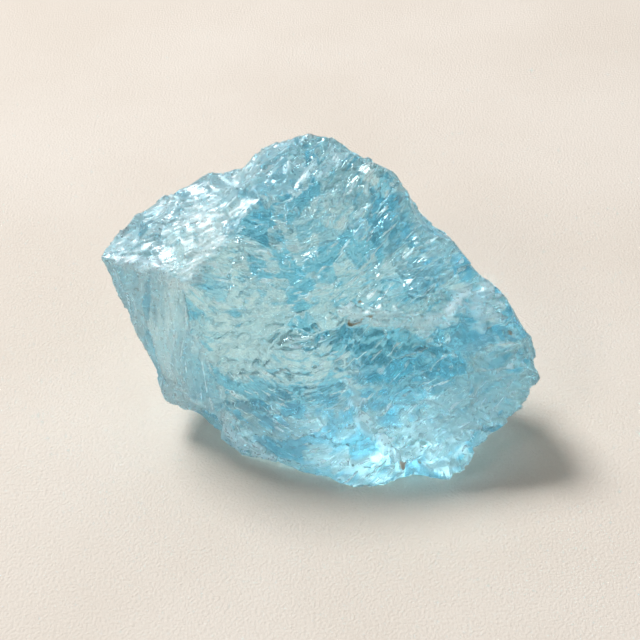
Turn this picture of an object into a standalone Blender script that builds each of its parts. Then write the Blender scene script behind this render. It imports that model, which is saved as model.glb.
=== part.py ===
"""A rough aquamarine crystal: one broken block of clear blue beryl, lying on a flat facet.

Units are metres and +Z is up. The origin is on the surface that the crystal lies on, under the middle of
its box, and -Y is its front. The block is the convex hull of a few named corners. Each face of the hull
then gets the relief of the fracture on its side, and the crystal is all that lies inside the roughened
faces, so its edges come out chipped where two rough faces meet.
"""

import math
from dataclasses import dataclass

import bmesh
import bpy
import numpy as np

MM = 0.001

# The block is made this much deeper at the foot, in millimetres, and cut off flat at the surface.
FOOT_ALLOWANCE = 0.5

# Corners of the block, in millimetres, on a box 50.6 long, 30.9 deep and 33 high.
CORNERS = {
    # Round the top face, clockwise from the left tip.
    "top_left_tip": (-25.2, -1.4, 24.0),
    "top_left_back": (-24.2, 1.4, 25.0),
    "top_back_left": (-21.7, 3.8, 26.0),
    "top_back_middle": (-14.3, 8.2, 28.5),
    "top_back_right": (-5.3, 11.4, 31.5),
    "apex": (-1.7, 10.7, 33.0),
    "apex_right": (1.5, 9.9, 32.8),
    "top_junction": (-15.2, -7.5, 25.0),
    # Down the right end.
    "shoulder": (7.6, 7.1, 30.0),
    "right_shoulder": (20.5, -2.7, 20.0),
    "right_upper": (24.6, -6.5, 16.0),
    "right_tip": (25.4, -9.6, 12.0),
    "right_back": (24.0, -1.0, 11.0),
    "right_lower": (20.5, -12.8, 7.0),
    "right_foot": (14.7, -15.3, 2.0),
    # Down the left end, with the narrow strip between it and the front.
    "strip_upper": (-14.0, -6.6, 25.9),
    "strip_lower": (-11.2, -11.0, 10.0),
    "strip_foot": (-14.0, -8.9, 7.5),
    "left_lower_tip": (-18.7, -4.6, 5.0),
    # The knee of the front, where its slope turns steep.
    "front_knee": (3.5, -12.4, 13.5),
    # Round the back.
    "apex_back": (-1.0, 13.4, 30.0),
    "back_upper": (9.0, 10.5, 25.5),
    "back_right": (17.2, 5.0, 18.0),
    "back_middle": (2.0, 15.5, 18.0),
    "back_left": (-15.0, 11.0, 17.0),
    "back_left_lower": (-19.0, 4.5, 7.0),
    "back_lower": (0.0, 12.0, 5.0),
    "back_right_lower": (13.0, 8.5, 5.0),
    # Round the flat facet that it lies on.
    "foot_front": (4.2, -15.4, -FOOT_ALLOWANCE),
    "foot_front_left": (-8.8, -10.7, -FOOT_ALLOWANCE),
    "foot_left": (-10.0, 0.5, -FOOT_ALLOWANCE),
    "foot_back": (-3.0, 8.0, -FOOT_ALLOWANCE),
    "foot_back_right": (13.0, 3.5, -FOOT_ALLOWANCE),
    "foot_front_right": (12.0, -12.5, -FOOT_ALLOWANCE),
}
MIDDLE = (0.0, 0.0, 14.0)

# The skin starts as a ball of this many subdivisions, stretched as the block is, and ends with this many
# triangles.
SKIN_SUBDIVISIONS = 7
SKIN_STRETCH = (1.5, 1.0, 1.0)
SKIN_TRIANGLES = 8600

# Points within this distance of the surface, in millimetres, are laid on it.
CUT_MERGE = 0.02
# The face that looks down more than this is the foot, and stays flat.
FOOT_NORMAL = -0.999

# A face further out than this many times the nearest one can't show through its relief.
REACH = 1.25

# A hollow's square distance from its middle is cut off at its rim, and its level is the flat face.
SCOOP_RIM = 0.6
SCOOP_LEVEL = 0.22


@dataclass(frozen=True)
class Fracture:
    """The break on one side of the block. Lengths are in millimetres and angles in degrees."""

    azimuth: float
    elevation: float
    grain: tuple
    scoop: tuple
    scoop_depth: float
    plate: tuple
    plate_step: float
    seed: int


FRACTURES = (
    Fracture(-136, 70, (0.8, 0.6, 0.2), (7.0, 5.5), 1.5, (4.2, 2.8), 0.45, 11),
    Fracture(-130, -8, (0.35, 0.0, -1.0), (17.0, 4.5), 1.0, (9.0, 1.7), 0.35, 23),
    Fracture(-76, 45, (1.0, 0.25, 0.2), (9.0, 5.0), 1.7, (4.8, 1.9), 0.55, 37),
    Fracture(-95, 0, (1.0, 0.0, 0.1), (9.0, 6.5), 1.2, (6.0, 2.6), 0.3, 41),
    Fracture(30, 25, (0.5, -0.5, -0.7), (8.0, 5.0), 1.6, (4.4, 2.4), 0.4, 53),
    Fracture(0, -45, (0.3, -1.0, 0.3), (7.0, 5.0), 1.4, (4.4, 2.4), 0.35, 67),
    Fracture(100, 15, (1.0, 0.0, -0.3), (10.0, 6.0), 1.7, (5.5, 2.6), 0.45, 71),
    Fracture(100, -40, (1.0, 0.0, 0.3), (8.0, 6.0), 1.4, (5.0, 2.6), 0.35, 83),
    Fracture(165, -40, (0.3, 0.4, -1.0), (8.0, 5.0), 1.4, (4.4, 2.2), 0.35, 97),
)

# The lip on the front, as distances along and up the front from the block's middle axis.
LIP_ALONG = (-0.1, 3.9, 8.6, 10.7, 12.9, 14.6, 16.4)
LIP_UP = (8.9, 8.4, 7.7, 8.7, 10.8, 10.6, 9.0)
LIP_DROP = 1.3
LIP_REACH = 6.0
LIP_FADE = 1.5
FRONT = 2

# Bites out of the block (negative) and lumps on it (positive): place, radius and height, in millimetres.
LUMPS = (
    ((-9.8, 8.2, 29.9), 3.6, -1.3),
    ((12.2, 2.9, 25.9), 4.0, -1.1),
    ((24.6, -7.6, 14.7), 2.2, -0.9),
    ((10.6, -15.3, 1.3), 3.6, -0.5),
    ((-14.4, -8.2, 4.4), 3.4, -2.4),
    ((-18.4, -4.6, 6.2), 2.4, 0.6),
    ((-0.1, -13.9, 0.2), 2.6, -0.7),
    ((17.2, -14.6, 3.4), 2.0, 0.6),
    ((14.0, 9.0, 12.0), 6.0, -1.6),
    ((-10.0, 13.0, 18.0), 6.0, -1.4),
    ((6.0, 13.5, 22.0), 4.0, -1.2),
)

BLUE = (0.32, 0.62, 0.70, 1.0)


def cell_random(column, row, seed):
    """A number from 0 to 1 for each cell of a grid, always the same for the same cell and seed."""
    mixed = (column * 374761393 + row * 668265263 + seed * 974634777) & 0xFFFFFFFF
    mixed = ((mixed ^ (mixed >> 13)) * 1274126177) & 0xFFFFFFFF
    return ((mixed ^ (mixed >> 16)) & 0xFFFF) / 65535.0


def nearest_cell(along, across, seed):
    """The squared distance to the nearest scattered point, and its cell and its offset."""
    column = np.floor(along).astype(np.int64)
    row = np.floor(across).astype(np.int64)
    best = np.full(along.shape, np.inf)
    found = [np.zeros(along.shape) for _ in range(4)]
    for column_step in (-1, 0, 1):
        for row_step in (-1, 0, 1):
            cell = (column + column_step, row + row_step)
            off_along = along - cell[0] - 0.1 - 0.8 * cell_random(*cell, seed)
            off_across = across - cell[1] - 0.1 - 0.8 * cell_random(*cell, seed + 1)
            distance = off_along**2 + off_across**2 + 0.35 * cell_random(*cell, seed + 2)
            nearer = distance < best
            best = np.where(nearer, distance, best)
            found = [np.where(nearer, new, old) for new, old in zip((*cell, off_along, off_across), found)]
    return best, found


def scoops(along, across, seed):
    """Shell-shaped hollows with sharp ridges between them, from about -0.2 to 0.4."""
    best, _ = nearest_cell(along, across, seed)
    return np.minimum(best, SCOOP_RIM) - SCOOP_LEVEL


def plates(along, across, seed):
    """Small flat plates that lean at their own angles and end in steps, from about -0.5 to 0.5."""
    _, (column, row, off_along, off_across) = nearest_cell(along, across, seed)
    column, row = column.astype(np.int64), row.astype(np.int64)
    lean_along = cell_random(column, row, seed + 3) - 0.5
    lean_across = 0.2 + 0.8 * cell_random(column, row, seed + 4)
    lift = cell_random(column, row, seed + 5) - 0.5
    return 0.6 * lean_along * off_along - lean_across * off_across + 0.6 * lift


def lip(along, up):
    """The drop below the broken lip of the front: steep at the lip, and fading down the slope."""
    below = np.interp(along, LIP_ALONG, LIP_UP) - up
    ends = np.clip(np.minimum(along - LIP_ALONG[0], LIP_ALONG[-1] - along) / LIP_FADE, 0.0, 1.0)
    drop = np.clip(below / 0.5, 0.0, 1.0) * np.clip(1.0 - below / LIP_REACH, 0.0, 1.0)
    return -LIP_DROP * drop * ends


def direction(azimuth, elevation):
    """The unit vector of a compass angle from +X and a height above the horizon, both in degrees."""
    turn, rise = math.radians(azimuth), math.radians(elevation)
    return np.array([math.cos(turn) * math.cos(rise), math.sin(turn) * math.cos(rise), math.sin(rise)])


def grain_frame(fracture):
    """The directions along and across the grain of one side."""
    facing = direction(fracture.azimuth, fracture.elevation)
    along = np.array(fracture.grain) - np.dot(fracture.grain, facing) * facing
    along /= np.linalg.norm(along)
    return along, np.cross(facing, along)


def relief(points, side):
    """How far each point of one side stands out from its flat face, in millimetres."""
    fracture = FRACTURES[side]
    along_axis, across_axis = grain_frame(fracture)
    along, across = points @ along_axis, points @ across_axis
    scooped = scoops(along / fracture.scoop[0], across / fracture.scoop[1], fracture.seed)
    plated = plates(along / fracture.plate[0], across / fracture.plate[1], fracture.seed + 100)
    height = fracture.scoop_depth * scooped + fracture.plate_step * plated
    if side == FRONT:
        level = direction(fracture.azimuth + 90, 0)
        uphill = direction(fracture.azimuth + 180, 90 - fracture.elevation)
        height = height + lip(points @ level, points @ uphill)
    for place, radius, lump_height in LUMPS:
        nearness = 1.0 - ((points - np.array(place)) ** 2).sum(axis=1) / radius**2
        height = height + lump_height * np.clip(nearness, 0.0, 1.0)
    return height


def block_faces():
    """The outward directions and the distances from MIDDLE of the faces of the hull of CORNERS."""
    hull = bmesh.new()
    for corner in CORNERS.values():
        hull.verts.new(corner)
    bmesh.ops.convex_hull(hull, input=list(hull.verts))
    bmesh.ops.recalc_face_normals(hull, faces=list(hull.faces))
    hull.normal_update()
    normals = np.array([face.normal[:] for face in hull.faces])
    places = np.array([face.verts[0].co[:] for face in hull.faces])
    hull.free()
    outwards = np.sign(((places - MIDDLE) * normals).sum(axis=1, keepdims=True))
    normals *= outwards
    return normals, ((places - MIDDLE) * normals).sum(axis=1)


def skin_radius(rays):
    """How far the crystal reaches from MIDDLE along each ray: the least of all its rough faces."""
    sides = np.array([direction(fracture.azimuth, fracture.elevation) for fracture in FRACTURES])
    normals, distances = block_faces()
    facing = rays @ normals.T
    reach = np.where(facing > 0.05, distances / np.maximum(facing, 0.05), np.inf)
    nearest = reach.min(axis=1)
    radius = np.full(len(rays), np.inf)
    for face, (normal, distance) in enumerate(zip(normals, distances)):
        near = np.nonzero(reach[:, face] < REACH * nearest)[0]
        flat = reach[near, face]
        if normal[2] > FOOT_NORMAL:
            side = int(np.argmax(sides @ normal))
            points = np.array(MIDDLE) + rays[near] * flat[:, None]
            flat = flat + relief(points, side) / facing[near, face]
        radius[near] = np.minimum(radius[near], flat)
    return radius


def crystal_mesh():
    """The skin of the crystal as a fine mesh: a stretched ball, each point of it moved to the rough faces."""
    skin = bmesh.new()
    bmesh.ops.create_icosphere(skin, subdivisions=SKIN_SUBDIVISIONS, radius=1.0)
    mesh = bpy.data.meshes.new("aquamarine_crystal")
    skin.to_mesh(mesh)
    skin.free()
    ball = np.empty(len(mesh.vertices) * 3, np.float32)
    mesh.vertices.foreach_get("co", ball)
    rays = ball.reshape(-1, 3).astype(np.float64) * SKIN_STRETCH
    rays /= np.linalg.norm(rays, axis=1, keepdims=True)
    points = np.array(MIDDLE) + rays * skin_radius(rays)[:, None]
    mesh.vertices.foreach_set("co", (points * MM).astype(np.float32).ravel())
    mesh.update()
    return mesh


def blue_beryl():
    """Clear, pale blue beryl with a glassy surface."""
    material = bpy.data.materials.new("blue_beryl")
    material.use_nodes = True
    shader = material.node_tree.nodes["Principled BSDF"]
    shader.inputs["Base Color"].default_value = BLUE
    shader.inputs["Roughness"].default_value = 0.12
    shader.inputs["Metallic"].default_value = 0.0
    shader.inputs["IOR"].default_value = 1.577
    shader.inputs["Transmission Weight"].default_value = 0.9
    return material


def thin_out(crystal):
    """Merges the skin's triangles, so that the flat plates keep few of them and the edges most."""
    faceting = crystal.modifiers.new("faceting", "DECIMATE")
    faceting.ratio = SKIN_TRIANGLES / len(crystal.data.polygons)
    fine = crystal.data
    crystal.data = bpy.data.meshes.new_from_object(crystal.evaluated_get(bpy.context.evaluated_depsgraph_get()))
    crystal.modifiers.clear()
    bpy.data.meshes.remove(fine)


def cut_foot(mesh):
    """Cuts the crystal off at the surface, which leaves the flat facet that it lies on."""
    block = bmesh.new()
    block.from_mesh(mesh)
    cut = bmesh.ops.bisect_plane(
        block,
        geom=[*block.verts, *block.edges, *block.faces],
        dist=CUT_MERGE * MM,
        plane_co=(0.0, 0.0, 0.0),
        plane_no=(0.0, 0.0, -1.0),
        clear_outer=True,
    )
    rim = [part for part in cut["geom_cut"] if isinstance(part, bmesh.types.BMEdge)]
    for part in cut["geom_cut"]:
        if isinstance(part, bmesh.types.BMVert):
            part.co.z = 0.0
    foot = bmesh.ops.contextual_create(block, geom=rim)["faces"]
    bmesh.ops.triangulate(block, faces=foot)
    bmesh.ops.recalc_face_normals(block, faces=list(block.faces))
    block.to_mesh(mesh)
    block.free()


def main():
    """Builds the crystal as one object."""
    for old in list(bpy.data.objects):
        bpy.data.objects.remove(old)
    crystal = bpy.data.objects.new("aquamarine_crystal", crystal_mesh())
    bpy.context.scene.collection.objects.link(crystal)
    thin_out(crystal)
    cut_foot(crystal.data)
    crystal.data.materials.append(blue_beryl())


if __name__ == "__main__":
    main()
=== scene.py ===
"""Looks of a rough aquamarine crystal: a broken, see-through block of blue beryl on a pale floor.

The block is the hull of named corners. Each of its faces is broken into hollows, plates, facets, chips and
ribs, and is dressed as clear beryl that turns frosty where the stone is bruised. Its tint carries painted
highlights on edges and hackle lines, painted shade in creases and grooves, and painted patches of refracted
light and shade.
"""

from __future__ import annotations

import logging
import math
from dataclasses import dataclass, field
from enum import Enum
from typing import Any, Union

import bmesh
import bpy
import numpy as np
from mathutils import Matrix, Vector


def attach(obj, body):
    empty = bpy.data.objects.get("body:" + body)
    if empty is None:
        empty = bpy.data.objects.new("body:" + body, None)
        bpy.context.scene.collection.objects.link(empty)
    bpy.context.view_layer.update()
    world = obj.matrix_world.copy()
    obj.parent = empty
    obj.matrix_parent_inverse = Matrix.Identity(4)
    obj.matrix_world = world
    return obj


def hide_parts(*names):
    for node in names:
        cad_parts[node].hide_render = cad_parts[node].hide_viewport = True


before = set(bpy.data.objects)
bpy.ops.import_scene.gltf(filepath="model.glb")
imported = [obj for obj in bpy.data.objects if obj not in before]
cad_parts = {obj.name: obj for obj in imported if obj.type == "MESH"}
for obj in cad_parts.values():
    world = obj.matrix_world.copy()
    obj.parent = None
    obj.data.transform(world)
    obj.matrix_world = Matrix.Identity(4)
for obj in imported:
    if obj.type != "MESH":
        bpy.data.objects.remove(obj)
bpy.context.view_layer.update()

MM = 0.001
Array = np.ndarray
Place = tuple[float, float, float]
Pixel = tuple[int, int]
Colour = tuple[float, float, float]
Band = tuple[float, float]
LOG = logging.getLogger("aquamarine")


# Shader maths


class Value:
    """A number that changes over a surface: one output socket, with the arithmetic of a number."""

    def __init__(self, shader: Shader, socket: bpy.types.NodeSocket) -> None:
        """Keeps the socket and the shader that it belongs to."""
        self.shader = shader
        self.socket = socket

    def __add__(self, other: Number) -> Value:
        """Adds."""
        return self.shader.math("ADD", self, other)

    def __radd__(self, other: Number) -> Value:
        """Adds to a number on the left."""
        return self.shader.math("ADD", other, self)

    def __sub__(self, other: Number) -> Value:
        """Subtracts."""
        return self.shader.math("SUBTRACT", self, other)

    def __rsub__(self, other: Number) -> Value:
        """Subtracts from a number on the left."""
        return self.shader.math("SUBTRACT", other, self)

    def __mul__(self, other: Number) -> Value:
        """Multiplies."""
        return self.shader.math("MULTIPLY", self, other)

    def __rmul__(self, other: Number) -> Value:
        """Multiplies a number on the left."""
        return self.shader.math("MULTIPLY", other, self)

    def band(self, low: float, high: float) -> Value:
        """Rises smoothly from 0 at low to 1 at high."""
        settings = {"interpolation_type": "SMOOTHSTEP", "clamp": True}
        node = self.shader.node("ShaderNodeMapRange", settings, {0: self, 1: low, 2: high, 3: 0.0, 4: 1.0})
        return Value(self.shader, node.outputs[0])


Number = Union[Value, float]


class Shader:
    """The node tree of one material or world, with a method that adds any node."""

    def __init__(self, owner: Any) -> None:
        """Empties the owner's node tree.

        Args:
            owner: A material or a world.
        """
        owner.use_nodes = True
        self.tree = owner.node_tree
        self.tree.nodes.clear()

    def node(self, kind: str, settings: dict[str, Any], inputs: dict[Any, Any]) -> bpy.types.Node:
        """Adds a node, sets it, and then fills or links its sockets.

        Args:
            kind: The node's type.
            settings: Its properties, such as a Math node's operation.
            inputs: What goes into each socket, by name or number: a plain value, a Value or a socket.

        Returns:
            The new node.
        """
        made = self.tree.nodes.new(kind)
        for name, setting in settings.items():
            setattr(made, name, setting)
        for name, given in inputs.items():
            given = given.socket if isinstance(given, Value) else given
            if isinstance(given, bpy.types.NodeSocket):
                self.tree.links.new(given, made.inputs[name])
            else:
                made.inputs[name].default_value = given
        return made

    def math(self, operation: str, first: Number, second: Number) -> Value:
        """Adds a Math node."""
        made = self.node("ShaderNodeMath", {"operation": operation}, {0: first, 1: second})
        return Value(self, made.outputs[0])

    def attribute(self, name: str) -> Value:
        """Reads a number that the mesh holds at each point."""
        return Value(self, self.node("ShaderNodeAttribute", {"attribute_name": name}, {}).outputs["Fac"])

    def place(self) -> bpy.types.NodeSocket:
        """The place on the object, in millimetres."""
        inputs = {0: self.node("ShaderNodeTexCoord", {}, {}).outputs["Object"], "Scale": 1.0 / MM}
        return self.node("ShaderNodeVectorMath", {"operation": "SCALE"}, inputs).outputs[0]

    def noise(self, place: bpy.types.NodeSocket, size: float, detail: float = 3.0) -> Value:
        """Cloudy noise.

        Args:
            place: Where it is read, in millimetres.
            size: How wide one cloud is, in millimetres.
            detail: How many finer layers it has.

        Returns:
            A value around 0.5, between 0 and 1.
        """
        inputs = {"Vector": place, "Scale": 1.0 / size, "Detail": detail}
        return Value(self, self.node("ShaderNodeTexNoise", {}, inputs).outputs["Fac"])

    def blend(self, share: Number, first: Any, second: Any) -> bpy.types.NodeSocket:
        """Mixes two colours: all first at 0, all second at 1."""
        first, second = ((*c, 1.0) if isinstance(c, tuple) else c for c in (first, second))
        return self.node("ShaderNodeMix", {"data_type": "RGBA"}, {0: share, 6: first, 7: second}).outputs[2]

    def bump(self, height: Value, strength: float, distance: float) -> bpy.types.NodeSocket:
        """Turns a height into a tilted normal, with the distance in metres."""
        inputs = {"Strength": strength, "Distance": distance, "Height": height}
        return self.node("ShaderNodeBump", {}, inputs).outputs[0]

    def principled(
        self, colour: bpy.types.NodeSocket, roughness: Value, normal: bpy.types.NodeSocket, **constants: float
    ) -> bpy.types.NodeSocket:
        """Adds a Principled shader and gives its output. A constant's name has _ for each space."""
        inputs = {name.replace("_", " "): constant for name, constant in constants.items()}
        inputs.update({"Base Color": colour, "Roughness": roughness, "Normal": normal})
        return self.node("ShaderNodeBsdfPrincipled", {}, inputs).outputs[0]

    def output(self, kind: str, **inputs: Any) -> None:
        """Adds the output node."""
        self.node(kind, {}, inputs)


# Relief: functions of a place on a face, worked out for whole arrays at once

# Large odd numbers that mix a cell's column, its row and a seed, and one that mixes them again.
COLUMN_FACTOR = 374761393
ROW_FACTOR = 668265263
SEED_FACTOR = 974634777
MIXING_FACTOR = 1274126177

# Each cell's point stays this far from the cell's start, and is scattered over this much of the cell.
SCATTER_START = 0.1
SCATTER_SPAN = 0.8
# The most that is added at random to a point's squared distance, so that cells differ in size.
UNEVENNESS = 0.35

# A hollow's squared distance from its middle is cut off at its rim, and its level is the flat face.
SCOOP_RIM = 0.6
SCOOP_LEVEL = 0.22

# How much a plate leans along the grain, the least and the range of its lean across it, and its lift.
PLATE_LEAN_ALONG = 0.6
PLATE_LEAN_LEAST = 0.2
PLATE_LEAN_RANGE = 0.8
PLATE_LIFT = 0.6
FACET_LIFT = 0.5

# A rib sways this much of its width, this often along its length, and breaks at a place of its own.
RIB_SWAY = 0.35
RIB_SWAY_RATE = 1.7
RIB_BREAK_SPREAD = 3.0

# How much each wave of a cloud is skewed by a slower one along another axis.
CLOUD_SKEW = 1.3


def cell_random(column: Array, row: Array, seed: int) -> Array:
    """Gives each cell of a grid its own number, always the same for the same cell and seed.

    The cell's two whole numbers and the seed are multiplied by large odd numbers, added, and mixed by shifts.

    Args:
        column: Whole-number column of each cell.
        row: Whole-number row of each cell.
        seed: Chooses one set of numbers.

    Returns:
        A number from 0 to 1 for each cell.
    """
    mixed = (column * COLUMN_FACTOR + row * ROW_FACTOR + seed * SEED_FACTOR) & 0xFFFFFFFF
    mixed = ((mixed ^ (mixed >> 13)) * MIXING_FACTOR) & 0xFFFFFFFF
    return ((mixed ^ (mixed >> 16)) & 0xFFFF) / 65535.0


def nearest_cell(along: Array, across: Array, seed: int) -> tuple[Array, list[Array]]:
    """Finds the nearest of one scattered point per grid cell, looking at the 3 by 3 cells around.

    Args:
        along: Place along the grain, in cells.
        across: Place across the grain, in cells.
        seed: Chooses the scatter.

    Returns:
        The squared distance, made larger at random by point, and the point's column, row and offsets.
    """
    column = np.floor(along).astype(np.int64)
    row = np.floor(across).astype(np.int64)
    best = np.full(along.shape, np.inf)
    found = [np.zeros(along.shape, kind) for kind in (np.int64, np.int64, float, float)]
    for column_step in (-1, 0, 1):
        for row_step in (-1, 0, 1):
            cell = (column + column_step, row + row_step)
            off_along = along - cell[0] - SCATTER_START - SCATTER_SPAN * cell_random(*cell, seed)
            off_across = across - cell[1] - SCATTER_START - SCATTER_SPAN * cell_random(*cell, seed + 1)
            distance = off_along**2 + off_across**2 + UNEVENNESS * cell_random(*cell, seed + 2)
            nearer = distance < best
            best = np.where(nearer, distance, best)
            found = [np.where(nearer, new, old) for new, old in zip((*cell, off_along, off_across), found)]
    return best, found


def scoops(along: Array, across: Array, seed: int) -> Array:
    """Shell-shaped hollows: the square of the distance to the nearest point, cut off at the rim."""
    best, _ = nearest_cell(along, across, seed)
    return np.minimum(best, SCOOP_RIM) - SCOOP_LEVEL


def plates(along: Array, across: Array, seed: int) -> Array:
    """Small flat plates that lean at their own angles and end in steps.

    Each point belongs to its nearest scattered point, and lies on that one's leaning plane.

    Args:
        along: Place along the grain, in plates.
        across: Place across the grain, in plates.
        seed: Chooses the plates.

    Returns:
        The height, from about -0.5 to 0.5.
    """
    _, (column, row, off_along, off_across) = nearest_cell(along, across, seed)
    lean_along = cell_random(column, row, seed + 3) - 0.5
    lean_across = PLATE_LEAN_LEAST + PLATE_LEAN_RANGE * cell_random(column, row, seed + 4)
    lift = cell_random(column, row, seed + 5) - 0.5
    return PLATE_LEAN_ALONG * lean_along * off_along - lean_across * off_across + PLATE_LIFT * lift


def direction(azimuth: float, elevation: float) -> Array:
    """The unit vector of a compass angle from +X and a height above the horizon, in degrees."""
    turn, rise = math.radians(azimuth), math.radians(elevation)
    return np.array([math.cos(turn) * math.cos(rise), math.sin(turn) * math.cos(rise), math.sin(rise)])


def facets(along: Array, across: Array, seed: int) -> Array:
    """Flat facets that each lean their own way, with a small step between neighbours.

    Each point lies on the plane of its nearest scattered point, leaning up to one cell in height per cell.

    Args:
        along: Place along the grain, in facets.
        across: Place across the grain, in facets.
        seed: Chooses the facets.

    Returns:
        The height, from about -1 to 1.
    """
    _, (column, row, off_along, off_across) = nearest_cell(along, across, seed)
    lean_along = 2.0 * cell_random(column, row, seed + 3) - 1.0
    lean_across = 2.0 * cell_random(column, row, seed + 4) - 1.0
    lift = cell_random(column, row, seed + 5) - 0.5
    return lean_along * off_along + lean_across * off_across + FACET_LIFT * lift


def ribs(across: Array, along: Array, seed: int) -> Array:
    """Fine parallel ridges: a saw wave across the grain, whose height and start differ from rib to rib.

    Args:
        across: Place across the grain, in ribs.
        along: Place along the grain, in rib lengths.
        seed: Chooses the ribs.

    Returns:
        The height, from 0 to 1.
    """
    bent = across + RIB_SWAY * np.sin(along * RIB_SWAY_RATE + seed)
    rib = np.floor(bent).astype(np.int64)
    stretch = np.floor(along + RIB_BREAK_SPREAD * cell_random(rib, rib, seed)).astype(np.int64)
    return (bent - rib) * cell_random(rib, stretch, seed + 1)


def clouds(points: Array, size: float, seed: int) -> Array:
    """Soft clouds from 0 to 1: three sine waves, each skewed by a slower one, added up and scaled.

    Args:
        points: Places, in millimetres.
        size: How wide a cloud is, in millimetres.
        seed: Shifts the clouds.

    Returns:
        A value for each place.
    """
    x, y, z = (points / size * math.pi).T
    first = np.sin(x + CLOUD_SKEW * np.sin(0.7 * y + seed) + seed)
    second = np.sin(y + CLOUD_SKEW * np.sin(0.8 * z + 2.0 * seed) + 1.7 * seed)
    third = np.sin(z + CLOUD_SKEW * np.sin(0.9 * x + 3.0 * seed) + 2.3 * seed)
    return 0.5 + (first + second + third) / 6.0


def along_route(points: Array, stops: Array) -> Array:
    """The distance from each point to a route of straight stretches between stops, in millimetres."""
    if len(stops) == 1:
        return np.linalg.norm(points - stops[0], axis=1)
    nearest = np.full(len(points), np.inf)
    for start, end in zip(stops[:-1], stops[1:]):
        step = end - start
        share = np.clip((points - start) @ step / (step @ step), 0.0, 1.0)
        nearest = np.minimum(nearest, np.linalg.norm(points - start - share[:, None] * step, axis=1))
    return nearest


class Side(Enum):
    """The sides of the block, in the order of its fractures."""

    TOP = 0
    LEFT = 1
    FRONT = 2
    LOWER_FRONT = 3
    RIGHT = 4
    UNDER_RIGHT = 5
    BACK = 6
    UNDER_BACK = 7
    UNDER_LEFT = 8


class Layer(Enum):
    """The layers of a broken side, each with what it adds to the side's seed."""

    SCOOPS = 0
    PLATES = 100
    CHIPS = 200
    FACETS = 300
    TONES = 306
    RIBS = 400


@dataclass(frozen=True)
class Fracture:
    """The break on one side of the block. Lengths are in millimetres and angles in degrees.

    The grain turns by as much as the angle turn on either side of the place turn_middle along the stone. Ribs
    grow by rib_gain past the place gain_from. Chips fill the patches where clouds rise above rough_from.
    """

    azimuth: float
    elevation: float
    grain: Place
    scoop: tuple[float, float]
    scoop_depth: float
    plate: tuple[float, float]
    plate_step: float
    seed: int
    facet: tuple[float, float] = (3.6, 2.0)
    facet_step: float = 0.36
    chip: tuple[float, float] = (2.0, 0.8)
    chip_step: float = 0.22
    rib: float = 0.7
    rib_step: float = 0.025
    rib_gain: float = 0.0
    rib_stretch: float = 8.0
    gain_from: float = 9.0
    gain_span: float = 6.0
    turn: float = 14.0
    turn_middle: float = -2.0
    turn_span: float = 8.0
    rough_size: float = 5.0
    rough_from: float = 0.52
    rough_sharpness: float = 5.0
    smooth_ribs: float = 1.2
    frost: float = 0.08

    @property
    def facing(self) -> Array:
        """The side's outward direction."""
        return direction(self.azimuth, self.elevation)

    def grain_axes(self) -> tuple[Array, Array]:
        """The directions along and across the grain."""
        along = np.array(self.grain) - np.dot(self.grain, self.facing) * self.facing
        along /= np.linalg.norm(along)
        return along, np.cross(self.facing, along)

    def layer_seed(self, layer: Layer) -> int:
        """The seed of one layer of this side."""
        return self.seed + layer.value

    def bent(self, points: Array) -> tuple[Array, Array]:
        """The places along and across the bending grain, in millimetres."""
        along_axis, across_axis = self.grain_axes()
        along, across = points @ along_axis, points @ across_axis
        turn = np.radians(self.turn * np.tanh((points[:, 0] - self.turn_middle) / self.turn_span))
        return along * np.cos(turn) + across * np.sin(turn), across * np.cos(turn) - along * np.sin(turn)

    def tone(self, points: Array) -> Array:
        """How light each place is, from 0 to 1: one random tone for each facet."""
        along, across = self.bent(points)
        seed = self.layer_seed(Layer.FACETS)
        _, (column, row, _, _) = nearest_cell(along / self.facet[0], across / self.facet[1], seed)
        return cell_random(column, row, self.layer_seed(Layer.TONES))

    def height(self, points: Array, fineness: Array) -> Array:
        """Adds up hollows and plates on the straight grain, and facets, chips and ribs on the bending grain.

        Args:
            points: Places on the flat faces of this side.
            fineness: The share of the small layers that each place keeps.

        Returns:
            How far each place stands out, in millimetres.
        """
        along_axis, across_axis = self.grain_axes()
        along, across = points @ along_axis, points @ across_axis
        scoop = scoops(along / self.scoop[0], across / self.scoop[1], self.layer_seed(Layer.SCOOPS))
        plate = plates(along / self.plate[0], across / self.plate[1], self.layer_seed(Layer.PLATES))
        total = self.scoop_depth * scoop + self.plate_step * plate
        along, across = self.bent(points)
        cloudy = clouds(points, self.rough_size, self.seed)
        rough = np.clip((cloudy - self.rough_from) * self.rough_sharpness, 0.0, 1.0)
        facet = facets(along / self.facet[0], across / self.facet[1], self.layer_seed(Layer.FACETS))
        chip = plates(along / self.chip[0], across / self.chip[1], self.layer_seed(Layer.CHIPS))
        rib = ribs(across / self.rib, along / (self.rib_stretch * self.rib), self.layer_seed(Layer.RIBS))
        fine = np.clip(self.smooth_ribs - rough, 0.0, 1.0) * self.rib_step * rib
        gain = np.clip((points[:, 0] - self.gain_from) / self.gain_span, 0.0, 1.0)
        fine = fine + self.rib_gain * gain * rib
        return total + fineness * (self.facet_step * facet + rough * self.chip_step * chip + fine)


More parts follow.
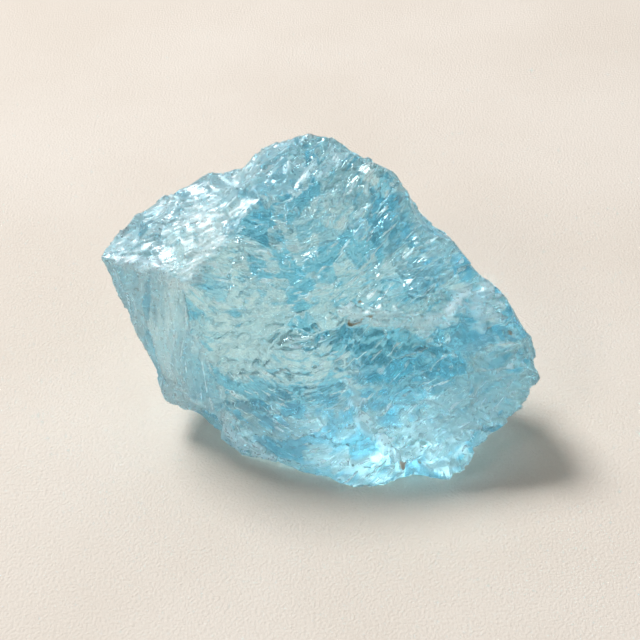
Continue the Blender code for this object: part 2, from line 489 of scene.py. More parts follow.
# One for each side, in the order of Side.
FRACTURES = (
    Fracture(-136, 70, (0.8, 0.6, 0.2), (7.0, 5.5), 1.5, (4.2, 2.8), 0.45, 11, frost=0.62),
    Fracture(
        -130, -8, (0.35, 0.0, -1.0), (17.0, 4.5), 1.0, (9.0, 1.7), 0.35, 23,
        facet=(9.0, 1.6), facet_step=0.2, chip=(4.0, 0.8), chip_step=0.12, rib_step=0.1, frost=0.66,
    ),
    Fracture(
        -76, 45, (1.0, 0.25, 0.2), (9.0, 5.0), 1.7, (4.8, 1.9), 0.55, 37,
        facet_step=0.52, rib=1.1, rib_gain=0.12, turn=22.0, frost=0.02,
    ),
    Fracture(
        -95, 0, (1.0, 0.0, 0.1), (9.0, 6.5), 1.2, (6.0, 2.6), 0.3, 41, facet=(3.4, 1.5),
        facet_step=0.28, chip_step=0.12, rib=0.9, rib_step=0.05, rib_gain=0.08, turn=34.0, frost=0.05,
    ),
    Fracture(
        30, 25, (0.5, -0.5, -0.7), (8.0, 5.0), 1.6, (4.4, 2.4), 0.4, 53,
        facet_step=0.28, chip_step=0.1, frost=0.4,
    ),
    Fracture(
        0, -45, (0.3, -1.0, 0.3), (7.0, 5.0), 1.4, (4.4, 2.4), 0.35, 67,
        facet_step=0.12, chip_step=0.06, rib_step=0.07, turn=30.0, frost=0.6,
    ),
    Fracture(100, 15, (1.0, 0.0, -0.3), (10.0, 6.0), 1.7, (5.5, 2.6), 0.45, 71, frost=0.8),
    Fracture(100, -40, (1.0, 0.0, 0.3), (8.0, 6.0), 1.4, (5.0, 2.6), 0.35, 83, frost=0.3),
    Fracture(165, -40, (0.3, 0.4, -1.0), (8.0, 5.0), 1.4, (4.4, 2.2), 0.35, 97, frost=0.2),
)


@dataclass(frozen=True)
class View:
    """The camera: what it looks at, from where, and its square picture. Lengths are in millimetres."""

    target: Place = (-0.1, -0.5, 13.7)
    rise: float = 40.0
    distance: float = 183.0
    lens: float = 85.0
    sensor: float = 36.0
    picture: int = 640

    @property
    def eye(self) -> Array:
        """The camera's place."""
        return np.array(self.target) + self.distance * direction(-90.0, self.rise)

    def ray(self, pixel: Pixel) -> Array:
        """The direction from the camera through a pixel, counted from the picture's top left corner."""
        upwards = direction(90.0, 90.0 - self.rise)
        side = (pixel[0] / self.picture - 0.5) * self.sensor
        rise = (0.5 - pixel[1] / self.picture) * self.sensor
        return side * np.array([1.0, 0.0, 0.0]) + rise * upwards - self.lens * direction(-90.0, self.rise)


@dataclass(frozen=True)
class Mark:
    """A feature that follows a route over the stone, given by pixels of the camera's picture.

    The radius, height and wobble are in millimetres. Frost, rust and calm are shares, and tone is added to
    the shade: it paints lighter and darker patches where refracted light falls brighter or dimmer. The ragged
    edge stands between ragged_least and ragged_least + ragged_range radii away.
    """

    pixels: tuple[Pixel, ...]
    radius: float
    height: float = 0.0
    frost: float = 0.0
    rust: float = 0.0
    tone: float = 0.0
    calm: float = 0.0
    ragged_least: float = 0.35
    ragged_range: float = 1.3
    ragged_cloud: float = 0.8
    ragged_seed: int = 6
    wobble: float = 1.1
    wobble_cloud: float = 1.3
    wobble_seeds: tuple[int, int, int] = (3, 4, 5)

    def nearness(self, points: Array, stops: Array) -> Array:
        """How near each place is to the route: 1 on it, 0 at a ragged edge about one radius away.

        Args:
            points: Places on the stone, in millimetres.
            stops: The places that the route runs through.

        Returns:
            The nearness of each place.
        """
        spread = (self.ragged_least + self.ragged_range) * self.radius + self.wobble
        inside = (points > stops.min(axis=0) - spread) & (points < stops.max(axis=0) + spread)
        near = np.nonzero(inside.all(axis=1))[0]
        close = points[near]
        shift = np.stack([clouds(close, self.wobble_cloud, seed) - 0.5 for seed in self.wobble_seeds], axis=1)
        cloudy = clouds(close, self.ragged_cloud, self.ragged_seed)
        ragged = self.radius * (self.ragged_least + self.ragged_range * cloudy)
        away = along_route(close + self.wobble * shift, stops)
        share = np.zeros(len(points))
        share[near] = np.clip(1.0 - (away / ragged) ** 2, 0.0, 1.0)
        return share


MARKS = {
    "ledge": Mark(
        (
            (350, 314), (384, 318), (424, 325), (441, 317),
            (459, 300), (472, 294), (475, 320), (488, 314),
        ),
        1.2, height=0.55, frost=0.9,
    ),
    "crack": Mark(
        ((350, 384), (357, 405), (364, 429), (384, 440), (400, 463)),
        0.95, height=-0.5, frost=1.0,
    ),
    "fibrous_chip": Mark(((224, 427), (245, 440), (268, 458)), 1.3, height=0.25, frost=0.9),
    "sparkle_chain": Mark(
        ((224, 405), (262, 410), (310, 415), (340, 420)),
        0.7, height=0.45, frost=0.3,
    ),
    "right_ridge": Mark(((416, 226), (414, 251), (406, 261)), 0.4, height=0.3, frost=0.7),
    "middle_ridge": Mark(((366, 165), (368, 195), (365, 220)), 0.3, height=0.3, frost=0.7),
    "bright_chunk": Mark(((360, 230),), 1.3, height=0.35, frost=0.6),
    "upper_vein": Mark(
        ((270, 262), (300, 280), (330, 272), (350, 262)),
        0.26, height=0.25, frost=0.6,
    ),
    "lower_vein": Mark(((300, 300), (325, 285), (350, 275)), 0.26, height=0.25, frost=0.6),
    "dark_hollow": Mark(((362, 248),), 1.8, height=-0.7),
    "crust": Mark(
        ((120, 262), (151, 265), (184, 283), (195, 270), (209, 250), (225, 230)),
        1.2, height=0.2, frost=0.9,
    ),
    "right_rim": Mark(((416, 228), (430, 262), (440, 285), (490, 320), (515, 335)), 1.4, frost=0.2),
    "strip_edge": Mark(((190, 293), (206, 339), (217, 366), (224, 407)), 0.5, height=0.15, frost=0.4),
    "left_bright": Mark(((178, 387), (190, 393), (203, 399)), 0.6, height=0.2, frost=0.9),
    "lens_window": Mark(((225, 328),), 2.2, height=-0.6, frost=0.15, calm=1.0),
    "crackled_facet": Mark(((217, 270),), 1.9, height=-0.4, frost=0.45),
    # Painted light and shade: the tones of these windows lighten or darken the tint where refracted light
    # falls brighter or dimmer.
    "pale_window": Mark(((258, 320), (235, 350)), 3.4, height=-0.4, frost=0.1, tone=0.4, calm=0.9),
    "smooth_window": Mark(((470, 335), (455, 345)), 3.0, height=-0.3, tone=-0.3, calm=1.0),
    "low_window": Mark(((430, 455), (412, 435)), 2.4, tone=0.2, calm=0.7),
    "belt_window": Mark(((335, 325), (318, 315)), 1.8, tone=0.5, calm=0.8),
    "milk_patch": Mark(((205, 222),), 2.6, height=-0.3, frost=0.95, calm=0.7),
    # Painted shade and light: the deep and teal marks darken the tint where refracted light is dim, and the
    # pale marks lighten it where it is bright.
    "deep_pool": Mark(((365, 345), (400, 370), (435, 355)), 3.6, tone=-0.55),
    "deep_pool_below": Mark(((350, 395), (385, 400)), 1.6, tone=-0.6),
    "teal_lens": Mark(((292, 330), (308, 320), (322, 328)), 1.0, height=-0.3, tone=-0.9, calm=0.8),
    "teal_spot": Mark(((284, 272), (300, 280)), 1.3, height=-0.3, tone=-0.9, calm=0.8),
    "teal_corner": Mark(((352, 250), (372, 244)), 1.2, tone=-0.9),
    "teal_upper_left": Mark(((240, 225), (262, 215)), 1.7, tone=-0.7, calm=0.5),
    "teal_top": Mark(((255, 195), (290, 185)), 1.3, tone=-0.6),
    "teal_right": Mark(((382, 200), (390, 215)), 1.4, tone=-0.8),
    "teal_far_right": Mark(((405, 235), (412, 245)), 1.2, tone=-0.8),
    "teal_under_strip": Mark(((205, 370), (215, 395)), 1.8, tone=-0.6),
    "lower_teal": Mark(((230, 385), (280, 395), (320, 400)), 1.5, tone=-0.5),
    "pale_middle": Mark(((300, 350), (260, 340)), 2.8, tone=0.6),
    "pale_steps": Mark(((335, 210), (350, 195)), 2.2, tone=0.7),
    "pale_belt": Mark(((320, 300), (345, 290)), 1.7, tone=0.7),
    # Painted light: pale_glow lightens the tint where light leaving the stone at its lower right glows; its
    # frost roughens the surface there.
    "pale_glow": Mark(((440, 430), (470, 405), (500, 385)), 3.4, frost=0.3, tone=0.9),
    "rust_on_ledge": Mark(((357, 306), (366, 300), (373, 297)), 0.22, rust=1.0),
    "rust_under_ledge": Mark(((345, 316), (352, 322), (360, 318), (375, 317)), 0.22, rust=1.0),
    "rust_at_crack": Mark(((400, 473), (412, 467), (425, 465)), 0.22, rust=1.0),
    "rust_spot": Mark(((374, 467),), 0.34, rust=1.0),
    "speck_high": Mark(((512, 335),), 0.3, rust=0.9),
    "speck_middle": Mark(((517, 345),), 0.3, rust=0.9),
    "speck_low": Mark(((522, 355),), 0.3, rust=0.9),
    "speck_left": Mark(((477, 330),), 0.3, rust=0.9),
    "speck_right": Mark(((482, 327),), 0.3, rust=0.9),
}


def cube_ball(cells: int) -> tuple[Array, Array]:
    """Makes a ball from a cube's six square grids, with shared points along the cube's edges.

    A grid line at share s of a cube's side stands at tan(s * 45 degrees), so cells come out even.

    Args:
        cells: Cells along each edge of the cube.

    Returns:
        The points of the ball, and its quads, facing outwards.
    """
    steps = np.arange(cells + 1)
    first, second = np.meshgrid(steps, steps, indexing="ij")
    lattices = []
    flips = []
    for axis in range(3):
        for level in (0, cells):
            lattice = np.empty((cells + 1, cells + 1, 3), np.int64)
            lattice[..., axis] = level
            lattice[..., (axis + 1) % 3] = first
            lattice[..., (axis + 2) % 3] = second
            lattices.append(lattice)
            flips.append(level == 0)
    stacked = np.concatenate([lattice.reshape(-1, 3) for lattice in lattices])
    keys = (stacked[:, 0] * (cells + 1) + stacked[:, 1]) * (cells + 1) + stacked[:, 2]
    _, kept, index = np.unique(keys, return_index=True, return_inverse=True)
    index = index.reshape(6, cells + 1, cells + 1)
    quads = []
    for grid, flip in zip(index, flips):
        quad = np.stack([grid[:-1, :-1], grid[1:, :-1], grid[1:, 1:], grid[:-1, 1:]], axis=-1).reshape(-1, 4)
        quads.append(quad[:, ::-1] if flip else quad)
    cube = np.tan((stacked[kept] / cells * 2.0 - 1.0) * math.pi / 4.0)
    return cube / np.linalg.norm(cube, axis=1, keepdims=True), np.concatenate(quads)


@dataclass(frozen=True)
class Lip:
    """The broken lip across the front: places along and up the front, in millimetres, and its drop."""

    along: tuple[float, ...] = (-0.1, 3.9, 8.6, 10.7, 12.9, 14.6, 16.4)
    up: tuple[float, ...] = (8.9, 8.4, 7.7, 8.7, 10.8, 10.6, 9.0)
    drop: float = 1.3
    edge: float = 0.5
    reach: float = 6.0
    fade: float = 1.5

    def height(self, along: Array, up: Array) -> Array:
        """The drop below the lip: full at its edge, fading down the slope and at both ends."""
        below = np.interp(along, self.along, self.up) - up
        ends = np.minimum(along - self.along[0], self.along[-1] - along) / self.fade
        drop = np.clip(below / self.edge, 0.0, 1.0) * np.clip(1.0 - below / self.reach, 0.0, 1.0)
        return -self.drop * drop * np.clip(ends, 0.0, 1.0)


@dataclass(frozen=True)
class Lump:
    """A lump on the block, or a bite out of it where the height is below 0, in millimetres."""

    place: Place
    radius: float
    height: float


LUMPS = (
    Lump((-9.8, 8.2, 29.9), 3.6, -1.3),
    Lump((12.2, 2.9, 25.9), 4.0, -1.1),
    Lump((24.6, -7.6, 14.7), 2.2, -0.9),
    Lump((10.6, -15.3, 1.3), 3.6, -0.5),
    Lump((-14.4, -8.2, 4.4), 3.4, -2.4),
    Lump((-18.4, -4.6, 6.2), 2.4, 0.6),
    Lump((-0.1, -13.9, 0.2), 2.6, -0.7),
    Lump((17.2, -14.6, 3.4), 2.0, 0.6),
    Lump((14.0, 9.0, 12.0), 6.0, -1.6),
    Lump((-10.0, 13.0, 18.0), 6.0, -1.4),
    Lump((6.0, 13.5, 22.0), 4.0, -1.2),
)

# Round the top, down the right end and the left, the knee of the front, and round the back and the foot.
CORNERS = {
    "top_left_tip": (-25.2, -1.4, 24.0),
    "top_left_back": (-24.2, 1.4, 25.0),
    "top_back_left": (-21.7, 3.8, 26.0),
    "top_back_middle": (-14.3, 8.2, 28.5),
    "top_back_right": (-5.3, 11.4, 31.5),
    "apex": (-1.7, 10.7, 33.0),
    "apex_right": (1.5, 9.9, 32.8),
    "top_junction": (-15.2, -7.5, 25.0),
    "shoulder": (7.6, 7.1, 30.0),
    "right_shoulder": (20.5, -2.7, 20.0),
    "right_upper": (24.6, -6.5, 16.0),
    "right_tip": (25.4, -9.6, 12.0),
    "right_back": (24.0, -1.0, 11.0),
    "right_lower": (20.5, -12.8, 7.0),
    "right_foot": (14.7, -15.3, 2.0),
    "strip_upper": (-14.0, -6.6, 25.9),
    "strip_lower": (-11.2, -11.0, 10.0),
    "strip_foot": (-14.0, -8.9, 7.5),
    "left_lower_tip": (-18.7, -4.6, 5.0),
    "front_knee": (3.5, -12.4, 13.5),
    "apex_back": (-1.0, 13.4, 30.0),
    "back_upper": (9.0, 10.5, 25.5),
    "back_right": (17.2, 5.0, 18.0),
    "back_middle": (2.0, 15.5, 18.0),
    "back_left": (-15.0, 11.0, 17.0),
    "back_left_lower": (-19.0, 4.5, 7.0),
    "back_lower": (0.0, 12.0, 5.0),
    "back_right_lower": (13.0, 8.5, 5.0),
    "foot_front": (4.2, -15.4, 0.0),
    "foot_front_left": (-8.8, -10.7, 0.0),
    "foot_left": (-10.0, 0.5, 0.0),
    "foot_back": (-3.0, 8.0, 0.0),
    "foot_back_right": (13.0, 3.5, 0.0),
    "foot_front_right": (12.0, -12.5, 0.0),
}


@dataclass
class Block:
    """The crystal's block: the hull of named corners, in millimetres from the frame's origin.

    Along a ray the nearest rough face counts, out of the faces whose flat place is within the margin of the
    nearest flat one and which the ray doesn't only graze. Plates in the foot's hollows are finer than those
    hollows by foot_plate_rate.
    """

    corners: dict[str, Place] = field(default_factory=lambda: dict(CORNERS))
    middle: Place = (0.0, 0.0, 14.0)
    margin: float = 3.0
    grazing: float = 0.05
    foot_normal: float = -0.999
    foot_hollow: float = 1.3
    foot_cell: tuple[float, float] = (7.0, 4.5)
    foot_plate_step: float = 0.25
    foot_plate_rate: float = 2.2
    foot_plate_level: float = 0.3
    foot_seed: int = 131
    calm_sharpness: float = 3.0
    fractures: tuple[Fracture, ...] = FRACTURES
    lip: Lip = Lip()
    lumps: tuple[Lump, ...] = LUMPS
    marks: dict[str, Mark] = field(default_factory=lambda: dict(MARKS))
    view: View = View()

    def __post_init__(self) -> None:
        """Works out the faces, and the places on them where the marks run."""
        self.normals, self.distances = self.faces()
        self.stops = {name: self.seen_at(mark.pixels) for name, mark in self.marks.items()}

    def seen_at(self, pixels: tuple[Pixel, ...]) -> Array:
        """The places on the flat faces that the camera sees at some pixels of its picture.

        A ray from e along v meets a face at distance d, with outward direction n, after
        (d - n . (e - middle)) / (n . v). It enters by the last of the faces that turn towards it, and a pixel
        just outside the outline takes the place halfway to the first of the others.

        Args:
            pixels: Pixels of the camera's picture.

        Returns:
            One place for each pixel, in millimetres.
        """
        places = []
        for pixel in pixels:
            ray = self.view.ray(pixel)
            turned = self.normals @ ray
            reach = (self.distances - self.normals @ (self.view.eye - self.middle)) / turned
            enter, leave = reach[turned < 0.0].max(), reach[turned > 0.0].min()
            places.append(self.view.eye + ray * (enter if enter < leave else (enter + leave) / 2.0))
        return np.array(places)

    def faces(self) -> tuple[Array, Array]:
        """Takes the convex hull of the corners.

        Returns:
            The outward directions of its faces, and their distances from the block's middle.
        """
        hull = bmesh.new()
        for corner in self.corners.values():
            hull.verts.new(corner)
        bmesh.ops.convex_hull(hull, input=list(hull.verts))
        hull.normal_update()
        normals = np.array([face.normal[:] for face in hull.faces])
        places = np.array([face.verts[0].co[:] for face in hull.faces])
        hull.free()
        distances = ((places - self.middle) * normals).sum(axis=1)
        return normals * np.sign(distances)[:, None], np.abs(distances)

    def relief(self, points: Array, side: Side) -> Array:
        """Adds up a side's fracture, the lip if it is the front, the lumps, and the height of the marks.

        Args:
            points: Places on the flat faces of the side.
            side: The side.

        Returns:
            How far each place stands out from its flat face, in millimetres.
        """
        fracture = self.fractures[side.value]
        calm = np.zeros(len(points))
        for name, mark in self.marks.items():
            if mark.calm:
                near = mark.nearness(points, self.stops[name])
                calm = np.maximum(calm, mark.calm * np.clip(self.calm_sharpness * near, 0.0, 1.0))
        height = fracture.height(points, 1.0 - calm)
        if side is Side.FRONT:
            level = direction(fracture.azimuth + 90, 0)
            uphill = direction(fracture.azimuth + 180, 90 - fracture.elevation)
            height = height + self.lip.height(points @ level, points @ uphill)
        for lump in self.lumps:
            nearness = 1.0 - ((points - np.array(lump.place)) ** 2).sum(axis=1) / lump.radius**2
            height = height + lump.height * np.clip(nearness, 0.0, 1.0)
        for name, mark in self.marks.items():
            if mark.height:
                height = height + mark.height * mark.nearness(points, self.stops[name])
        return height

    def foot(self, points: Array) -> Array:
        """Shallow hollows in the foot: none goes below the floor, and the rims between them touch it."""
        along, across = points[:, 0] / self.foot_cell[0], points[:, 1] / self.foot_cell[1]
        hollow = np.clip(SCOOP_RIM - SCOOP_LEVEL - scoops(along, across, self.foot_seed), 0.0, 1.0)
        plate = plates(self.foot_plate_rate * along, self.foot_plate_rate * across, self.foot_seed + 1)
        step = np.clip(plate + self.foot_plate_level, 0.0, 1.0)
        return -self.foot_hollow * hollow - self.foot_plate_step * step

    def meet(self, rays: Array) -> tuple[Array, Array, Array]:
        """Finds the surface along each ray from the middle: the least distance to any rough face.

        A flat face at distance d, with outward direction n, is met by a unit ray v at d / (n . v). Its
        relief there, over n . v, is added.

        Args:
            rays: Unit directions from the middle.

        Returns:
            The distance along each ray in millimetres, the number of its side, which is -1 on the foot,
            and the place where the ray meets the flat face.
        """
        sides = np.array([fracture.facing for fracture in self.fractures])
        facing = rays @ self.normals.T
        ahead = self.distances / np.maximum(facing, self.grazing)
        reach = np.where(facing > self.grazing, ahead, np.inf)
        nearest = reach.min(axis=1)
        radius = np.full(len(rays), np.inf)
        owner = np.full(len(rays), -1)
        for face, normal in enumerate(self.normals):
            near = np.nonzero(reach[:, face] < nearest + self.margin)[0]
            points = np.array(self.middle) + rays[near] * reach[near, face][:, None]
            number = -1 if normal[2] < self.foot_normal else int(np.argmax(sides @ normal))
            relief = self.foot(points) if number < 0 else self.relief(points, Side(number))
            rough = reach[near, face] + relief / facing[near, face]
            first = rough < radius[near]
            radius[near] = np.where(first, rough, radius[near])
            owner[near] = np.where(first, number, owner[near])
        flat = np.array(self.middle) + rays * nearest[:, None]
        return radius, owner, flat


@dataclass
class Crystal:
    """The crystal's skin, dressed as clear beryl."""

    block: Block = field(default_factory=Block)
    cells: int = 250
    stretch: Place = (1.5, 1.0, 1.0)
    triangles: int = 196000
    edge_from: float = 0.17
    edge_span: float = 0.16
    foot_frost: float = 0.15
    plain_tone: float = 0.5
    frost_sharpness: float = 2.0
    tone_sharpness: float = 2.5

    def build(self) -> bpy.types.Object:
        """Makes the skin: a stretched ball whose points are moved out to the block's rough faces."""
        ball, quads = cube_ball(self.cells)
        rays = ball * self.stretch
        rays /= np.linalg.norm(rays, axis=1, keepdims=True)
        points = (np.array(self.block.middle) + rays * self.block.meet(rays)[0][:, None]) * MM
        points[:, 2] = np.maximum(points[:, 2], 0.0)
        mesh = bpy.data.meshes.new("crystal_skin")
        mesh.vertices.add(len(points))
        mesh.vertices.foreach_set("co", points.astype(np.float32).ravel())
        mesh.loops.add(quads.size)
        mesh.loops.foreach_set("vertex_index", quads.astype(np.int32).ravel())
        mesh.polygons.add(len(quads))
        mesh.polygons.foreach_set("loop_start", np.arange(0, quads.size, 4, dtype=np.int32))
        mesh.update(calc_edges=True)
        piece = bpy.data.objects.new("crystal_skin", mesh)
        bpy.context.scene.collection.objects.link(piece)
        self.thin_out(piece)
        self.paint(piece.data)
        piece.data.materials.append(BerylFinish().material())
        return piece

    def thin_out(self, piece: bpy.types.Object) -> None:
        """Merges triangles where the skin is flat, applies that to the mesh, and keeps it above the floor."""
        fewer = piece.modifiers.new("fewer", "DECIMATE")
        fewer.ratio = self.triangles / (2 * len(piece.data.polygons))
        fine = piece.data
        thinned = piece.evaluated_get(bpy.context.evaluated_depsgraph_get())
        piece.data = bpy.data.meshes.new_from_object(thinned)
        piece.modifiers.clear()
        bpy.data.meshes.remove(fine)
        points = np.empty(len(piece.data.vertices) * 3, np.float32)
        piece.data.vertices.foreach_get("co", points)
        points[2::3] = np.maximum(points[2::3], 0.0)
        piece.data.vertices.foreach_set("co", points)
        piece.data.update()

    @staticmethod
    def bend(mesh: bpy.types.Mesh, places: Array) -> Array:
        """How sharply the skin bends at each point: above 0 on an edge, below 0 in a crease.

        It is how far the point stands out from the mean of its neighbours, over the mean distance to them,
        averaged with the same measure around it, so that a lone point doesn't count.

        Args:
            mesh: The skin.
            places: Its points, in millimetres.

        Returns:
            The bend at each point.
        """
        ends = np.empty(len(mesh.edges) * 2, np.int32)
        mesh.edges.foreach_get("vertices", ends)
        first, second = ends.reshape(-1, 2).T

        def total(at_first: Any, at_second: Any) -> Array:
            """Adds up, at each point, a number given for each end of every edge, or 1 where it is None."""
            return np.bincount(first, at_first, len(places)) + np.bincount(second, at_second, len(places))

        step = places[second] - places[first]
        length = np.linalg.norm(step, axis=1)
        count = total(None, None)
        reach = total(length, length)
        pull = [total(part, -part) for part in step.T]
        outward = np.empty(len(places) * 3, np.float32)
        mesh.vertices.foreach_get("normal", outward)
        outwards = (np.stack(pull, axis=1) / count[:, None] * outward.reshape(-1, 3)).sum(axis=1)
        sharp = -outwards / (reach / count)
        return 0.5 * sharp + 0.5 * total(sharp[second], sharp[first]) / count

    def paint(self, mesh: bpy.types.Mesh) -> None:
        """Stores what the material reads at each point of the skin.

        Frost, rust, tone and calm come from the point's side and the marks near it, edge and crease from how
        the skin bends, and along and across are its place on the bending grain.

        Args:
            mesh: The skin.
        """
        places = np.empty(len(mesh.vertices) * 3, np.float32)
        mesh.vertices.foreach_get("co", places)
        rays = places.reshape(-1, 3).astype(float) / MM - np.array(self.block.middle)
        rays /= np.linalg.norm(rays, axis=1, keepdims=True)
        _, owner, flat = self.block.meet(rays)
        side_frost = np.array([fracture.frost for fracture in self.block.fractures] + [self.foot_frost])
        frost = side_frost[owner]
        rust = np.zeros(len(rays))
        tone = np.full(len(rays), self.plain_tone)
        calm = np.zeros(len(rays))
        along, across = flat[:, 0].copy(), flat[:, 1].copy()
        for number, fracture in enumerate(self.block.fractures):
            mine = np.nonzero(owner == number)[0]
            tone[mine] = fracture.tone(flat[mine])
            along[mine], across[mine] = fracture.bent(flat[mine])
        for name, mark in self.block.marks.items():
            near = mark.nearness(flat, self.block.stops[name])
            frost = np.maximum(frost, mark.frost * np.clip(near * self.frost_sharpness, 0.0, 1.0))
            rust = np.maximum(rust, mark.rust * near)
            # The marks' tones are painted light and shade: lighter and darker patches of refracted light.
            tone = tone + mark.tone * np.clip(near * self.tone_sharpness, 0.0, 1.0)
            calm = np.maximum(calm, mark.calm * np.clip(near * self.block.calm_sharpness, 0.0, 1.0))
        tone = np.clip(tone, 0.0, 1.0)
        bend = self.bend(mesh, places.reshape(-1, 3).astype(float) / MM)
        # Edge feeds the painted highlights on convex edges, and crease the painted shade in creases.
        edge = np.clip((bend - self.edge_from) / self.edge_span, 0.0, 1.0)
        crease = np.clip((-bend - self.edge_from) / self.edge_span, 0.0, 1.0)
        named = {"frost": frost, "rust": rust, "tone": tone, "calm": calm}
        named.update({"edge": edge, "crease": crease, "along": along, "across": across})
        for name, values in named.items():
            mesh.attributes.new(name, "FLOAT", "POINT").data.foreach_set("value", values.astype(np.float32))


@dataclass(frozen=True)
class BerylFinish:
    """Clear blue beryl, frosty where it is bruised and rusty in its cracks, with painted highlights on its
    edges and hackle lines and painted shade in its creases and grooves. Sizes are in millimetres.

    A band gives the values between which something rises from nothing to all. Milk is the share of bruised
    surface, which also carries the painted highlights, and a hackle is one of the fine lines along the grain.
    """

    refraction: float = 1.577
    body: Colour = (0.14, 0.84, 1.0)
    density: float = 8.5
    clear_tint: Colour = (0.79, 0.99, 1.0)
    deep_tint: Colour = (0.17, 0.65, 0.88)
    clearness: float = 0.92
    polish: float = 0.01
    haze: float = 0.05
    haze_band: Band = (0.45, 0.75)
    tone_band: Band = (0.05, 0.7)
    crease_shade: float = 0.85
    milk_least: float = 0.5
    milk_by_tone: float = 0.75
    milk_cloud_least: float = 0.8
    milk_by_cloud: float = 0.4
    edge_highlight: float = 0.65
    milk_tint: Colour = (0.62, 0.92, 1.0)
    frost_tint: Colour = (0.82, 0.96, 1.0)
    frost_band: Band = (0.4, 0.85)
    frost_clearness: float = 0.7
    frost_polish: float = 0.16
    frost_roughness: float = 0.28
    frost_bump: float = 0.6
    frost_crumb: float = 0.2
    rust_tint: Colour = (0.26, 0.13, 0.07)
    rust_band: Band = (0.1, 0.5)
    cloud_size: float = 2.6
    crumb_size: float = 0.4
    patch_size: float = 4.0
    patch_band: Band = (0.3, 0.5)
    grain_bump: float = 0.1
    hackle_length: float = 0.16
    hackle_width: float = 0.55
    hackle_bump: float = 0.55
    line_band: Band = (0.6, 0.64)
    line_highlight: float = 1.0
    groove_band: Band = (0.38, 0.44)
    groove_shade: float = 0.95
    bump_depth: float = 0.3

    def material(self) -> bpy.types.Material:
        """Makes the material: frosted beryl mixed over clear beryl, with absorption inside."""
        made = bpy.data.materials.new("beryl")
        shader = Shader(made)
        place = shader.place()
        cloud = shader.noise(place, self.cloud_size)
        crumb = shader.noise(place, self.crumb_size, 2.0)
        along = shader.attribute("along") * self.hackle_length
        grain = shader.node("ShaderNodeCombineXYZ", {}, {0: along, 1: shader.attribute("across")}).outputs[0]
        hackle = shader.noise(grain, self.hackle_width, 2.0)
        patch = shader.noise(place, self.patch_size, 1.0).band(*self.patch_band)
        patch = patch * (1.0 - shader.attribute("calm"))
        # Painted highlights: thin pale hackle lines, in the patches.
        lines = hackle.band(*self.line_band) * patch
        # Painted shade: dark grooves between the hackle lines, in the patches.
        shaded_grooves = (1.0 - hackle.band(*self.groove_band)) * patch
        rust = shader.attribute("rust").band(*self.rust_band)
        frost = shader.attribute("frost")
        tone = shader.attribute("tone")
        edge = shader.attribute("edge")
        milk_and_highlight = frost * (self.milk_least + self.milk_by_tone * tone)
        milk_and_highlight = milk_and_highlight * (self.milk_cloud_least + self.milk_by_cloud * cloud)
        # Painted highlights: convex edges and hackle lines are frosted and whitened as if they caught the
        # light.
        milk_and_highlight = milk_and_highlight + self.edge_highlight * edge + self.line_highlight * lines
        # Painted shade: the tint darkens towards the deep tint in creases and in the grooves between hackles.
        light = tone.band(*self.tone_band) * (1.0 - self.crease_shade * shader.attribute("crease"))
        light = light * (1.0 - self.groove_shade * shaded_grooves)
        depth = self.bump_depth * MM
        clear = shader.principled(
            shader.blend(light, self.deep_tint, self.clear_tint),
            self.polish + self.haze * cloud.band(*self.haze_band),
            shader.bump(hackle * patch + self.grain_bump * crumb, self.hackle_bump, depth),
            IOR=self.refraction,
            Transmission_Weight=self.clearness,
        )
        # Real frost, and the painted highlights on edges and hackle lines, turn the pale tint white.
        frost_and_highlight = shader.math("MAXIMUM", frost.band(*self.frost_band), shader.math("MAXIMUM", lines, edge))
        pale = shader.blend(frost_and_highlight, self.milk_tint, self.frost_tint)
        bruised = shader.principled(
            shader.blend(rust, pale, self.rust_tint),
            self.frost_polish + self.frost_roughness * crumb,
            shader.bump(hackle + self.frost_crumb * crumb, self.frost_bump, depth),
            IOR=self.refraction,
            Transmission_Weight=self.frost_clearness,
        )
        share = shader.math("MAXIMUM", shader.math("MINIMUM", milk_and_highlight, 1.0), rust)
        both = shader.node("ShaderNodeMixShader", {}, {0: share, 1: clear, 2: bruised})
        absorbed = {"Color": (*self.body, 1.0), "Density": self.density}
        inside = shader.node("ShaderNodeVolumeAbsorption", {}, absorbed)
        shader.output("ShaderNodeOutputMaterial", Surface=both.outputs[0], Volume=inside.outputs[0])
        return made


@dataclass(frozen=True)
class FloorFinish:
    """Fine-grained warm plaster. Sizes are in millimetres."""

    light: Colour = (0.73, 0.67, 0.605)
    dark: Colour = (0.655, 0.585, 0.51)
    blotch_size: float = 40.0
    grain_size: float = 0.34
    tone_band: Band = (0.3, 0.7)
    blotch_share: float = 0.55
    grain_share: float = 0.2
    roughness_least: float = 0.85
    roughness_range: float = 0.1
    grain_bump: float = 0.5
    grain_depth: float = 0.3

    def material(self) -> bpy.types.Material:
        """Makes the material: soft blotches and a fine sandy grain."""
        made = bpy.data.materials.new("plaster")
        shader = Shader(made)
        place = shader.place()
        blotch = shader.noise(place, self.blotch_size, 4.0)
        grain = shader.noise(place, self.grain_size, 2.0)
        blotches = blotch.band(*self.tone_band) * self.blotch_share
        plaster = shader.principled(
            shader.blend(blotches + grain.band(*self.tone_band) * self.grain_share, self.light, self.dark),
            self.roughness_least + self.roughness_range * grain,
            shader.bump(grain, self.grain_bump, self.grain_depth * MM),
        )
        shader.output("ShaderNodeOutputMaterial", Surface=plaster)
        return made


@dataclass(frozen=True)
class Lamp:
    """A round soft light that faces the stone. The distance and the width are in metres."""

    name: str
    towards: Place
    distance: float
    width: float
    watts: float

    def hang(self) -> None:
        """Hangs the light."""
        data = bpy.data.lights.new(self.name, "AREA")
        data.shape = "DISK"
        data.size = self.width
        data.energy = self.watts
        aim = Vector(self.towards).normalized()
        lamp = bpy.data.objects.new(self.name, data)
        lamp.location = aim * self.distance
        lamp.rotation_euler = (-aim).to_track_quat("-Z", "Y").to_euler()
        bpy.context.scene.collection.objects.link(lamp)


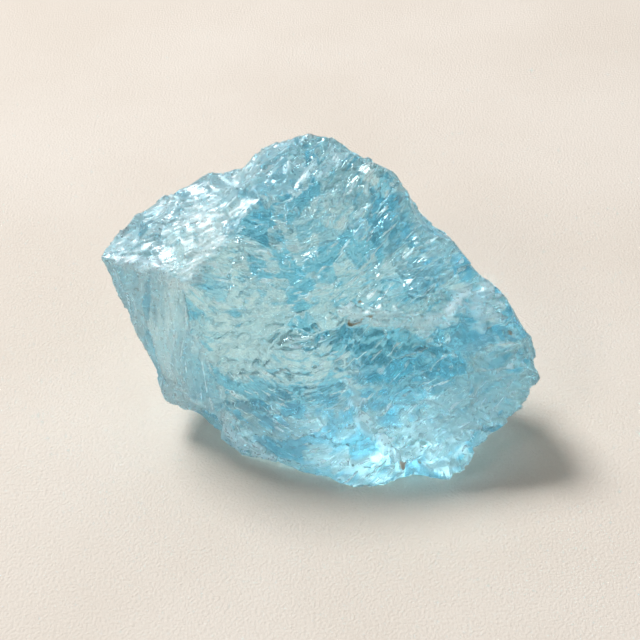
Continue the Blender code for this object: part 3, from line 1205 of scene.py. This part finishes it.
@dataclass
class Studio:
    """A plain pale floor, a key light from behind on the left, a weak fill light, a sky and the camera.

    Lengths are in metres. The sky is bright at the horizon and dim overhead, with a soft glow behind.
    """

    view: View = View()
    floor_half: float = 4.0
    lamps: tuple[Lamp, ...] = (
        Lamp("key", (-0.42, 0.38, 0.83), 1.3, 0.5, 17.3),
        Lamp("fill", (-0.55, -0.62, 0.72), 1.0, 0.2, 1.15),
    )
    glow_towards: Place = (0.15, 0.77, 0.62)
    glow_light: Colour = (0.53, 0.54, 0.55)
    glow_rim: float = 0.78
    glow_full: float = 0.94
    sky_low: Colour = (1.17, 1.10, 1.0)
    sky_high: Colour = (0.13, 0.13, 0.13)
    sky_band: Band = (0.0, 0.6)
    clear_bounces: int = 28
    glossy_bounces: int = 12

    def build(self) -> None:
        """Makes the floor, the two lights, the sky and the camera, and lets light bounce in the stone."""
        self.floor()
        for lamp in self.lamps:
            lamp.hang()
        self.sky()
        self.camera()
        scene = bpy.context.scene
        scene.view_settings.view_transform = "Standard"
        scene.cycles.max_bounces = self.clear_bounces
        scene.cycles.transmission_bounces = self.clear_bounces
        scene.cycles.glossy_bounces = self.glossy_bounces
        scene.cycles.sample_clamp_indirect = 0.0
        scene.cycles.blur_glossy = 0.0

    def camera(self) -> None:
        """Puts the camera in front, looking down at the stone."""
        data = bpy.data.cameras.new("camera")
        data.lens = self.view.lens
        data.sensor_width = self.view.sensor
        data.clip_start = 0.01
        camera = bpy.data.objects.new("camera", data)
        camera.location = self.view.eye * MM
        camera.rotation_euler = (math.radians(90.0 - self.view.rise), 0.0, 0.0)
        bpy.context.scene.collection.objects.link(camera)
        bpy.context.scene.camera = camera

    def floor(self) -> None:
        """Lays the floor: one flat square."""
        half = self.floor_half
        mesh = bpy.data.meshes.new("floor")
        corners = [(-half, -half, 0), (half, -half, 0), (half, half, 0), (-half, half, 0)]
        mesh.from_pydata(corners, [], [(0, 1, 2, 3)])
        mesh.materials.append(FloorFinish().material())
        floor = bpy.data.objects.new("floor", mesh)
        bpy.context.scene.collection.objects.link(floor)

    def sky(self) -> None:
        """Makes the world: bright at the horizon and dim overhead, with a soft glow behind the stone."""
        world = bpy.data.worlds.new("sky")
        shader = Shader(world)
        across = shader.node("ShaderNodeTexCoord", {}, {}).outputs["Generated"]
        up = Value(shader, shader.node("ShaderNodeSeparateXYZ", {}, {0: across}).outputs["Z"])
        towards = tuple(Vector(self.glow_towards).normalized())
        facing = shader.node("ShaderNodeVectorMath", {"operation": "DOT_PRODUCT"}, {0: across, 1: towards})
        glow = Value(shader, facing.outputs["Value"]).band(self.glow_rim, self.glow_full)
        light = shader.blend(up.band(*self.sky_band), self.sky_low, self.sky_high)
        light = shader.blend(glow, light, self.glow_light)
        background = shader.node("ShaderNodeBackground", {}, {"Color": light, "Strength": 1.0})
        shader.output("ShaderNodeOutputWorld", Surface=background.outputs[0])
        bpy.context.scene.world = world


def main() -> None:
    """Builds the crystal and the studio around it."""
    logging.basicConfig(level=logging.INFO, format="%(name)s: %(message)s")
    crystal = Crystal().build()
    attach(crystal, "root")
    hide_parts("aquamarine_crystal")
    LOG.info("%s: %d triangles", crystal.name, len(crystal.data.polygons))
    Studio().build()
    LOG.info("studio: floor, key and fill lights, sky and camera")


if __name__ == "__main__":
    main()
